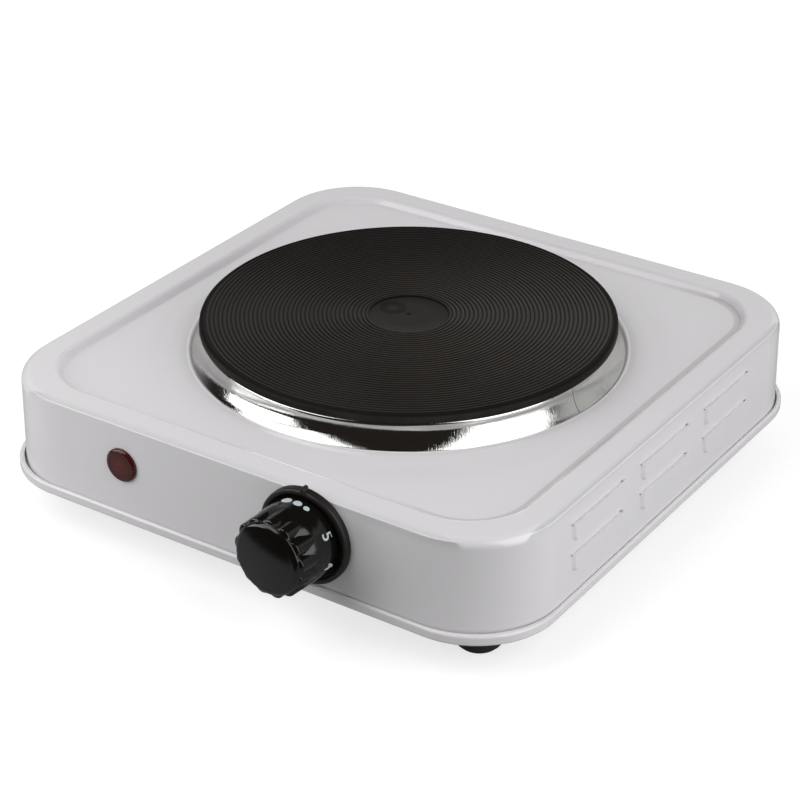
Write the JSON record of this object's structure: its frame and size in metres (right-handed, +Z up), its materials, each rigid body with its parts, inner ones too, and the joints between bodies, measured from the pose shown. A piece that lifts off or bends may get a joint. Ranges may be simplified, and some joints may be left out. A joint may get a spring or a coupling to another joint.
{
  "type": "single hot plate burner",
  "caption": "Square table-top electric hot plate: round cast plate in a chrome ring on an enamelled louvred housing, ribbed dial knob and pilot lamp in front.",
  "frame": {"origin": "on the table surface, under the middle of the square housing", "axes": "+X to the right as the user faces the controls, +Y to the rear, +Z up"},
  "size_m": [0.2252, 0.2474, 0.0636],
  "materials": {
    "enamel": "glossy pale enamel",
    "cast_iron": "dark brown-black heat-proof coating",
    "chrome": "polished",
    "zinc_steel": "zinc plated",
    "black_rubber": "matte",
    "black_gloss": "glossy black",
    "black_matte": "satin black",
    "red_lens": "translucent dark red",
    "bulb_glass": "clear",
    "ceramic": "unglazed",
    "magnesia": "pressed powder",
    "resistance_wire": "oxidised",
    "brass": "plain",
    "bimetal": "rolled strip",
    "brown_sleeve": "silicone insulation",
    "blue_sleeve": "silicone insulation",
    "green_sleeve": "silicone insulation",
    "white_sleeve": "glass-fibre sleeve"
  },
  "bodies": {
    "chassis": {"top_housing": "enamel", "base_pan": "enamel", "corner_brackets": "zinc_steel", "foot_front_left": "black_rubber", "foot_front_right": "black_rubber", "foot_rear_left": "black_rubber", "foot_rear_right": "black_rubber", "foot_screws": "zinc_steel", "hot_plate": "cast_iron", "trim_ring": "chrome", "coil_fill": "magnesia", "heating_coil": "resistance_wire", "plate_cover": "zinc_steel", "terminal_bushes": "ceramic", "plate_terminals": "zinc_steel", "clamp_strap": "zinc_steel", "plate_stud": "zinc_steel", "clamp_washer": "zinc_steel", "clamp_nut": "zinc_steel", "knob_bezel": "black_matte", "thermostat_bracket": "zinc_steel", "thermostat_screws": "zinc_steel", "contact_blade": "brass", "fixed_blade": "brass", "bimetal_blade": "bimetal", "stack_spacers": "ceramic", "stack_screw": "zinc_steel", "lamp_lens": "red_lens", "lamp_bulb": "bulb_glass", "lamp_clip": "zinc_steel", "cord_gland": "black_rubber", "terminal_block": "ceramic", "terminal_screws": "brass", "block_screws": "zinc_steel", "earth_screw": "zinc_steel", "wire_live": "brown_sleeve", "wire_neutral": "blue_sleeve", "wire_earth": "green_sleeve", "wire_heater": "white_sleeve", "lamp_leads": "white_sleeve"},
    "dial": {"knob": "black_gloss", "knob_spring_clip": "zinc_steel", "thermostat_spindle": "zinc_steel"},
    "plunger": {"thermostat_plunger": "ceramic"}
  },
  "joints": [
    {"name": "knob_turn", "type": "hinge", "parent": "chassis", "child": "dial", "pos_m": [0.03345, -0.111, 0.03735], "axis": [0, 1, 0], "range_deg": [-300, 24]},
    {"name": "plunger_slide", "type": "slide", "parent": "chassis", "child": "plunger", "axis": [0, 1, 0], "range_m": [-0.0006, 0.00006]}
  ],
  "couplings": [
    {"joint": "plunger_slide", "follows": "knob_turn", "m_per_rad": 0.00011141}
  ]
}
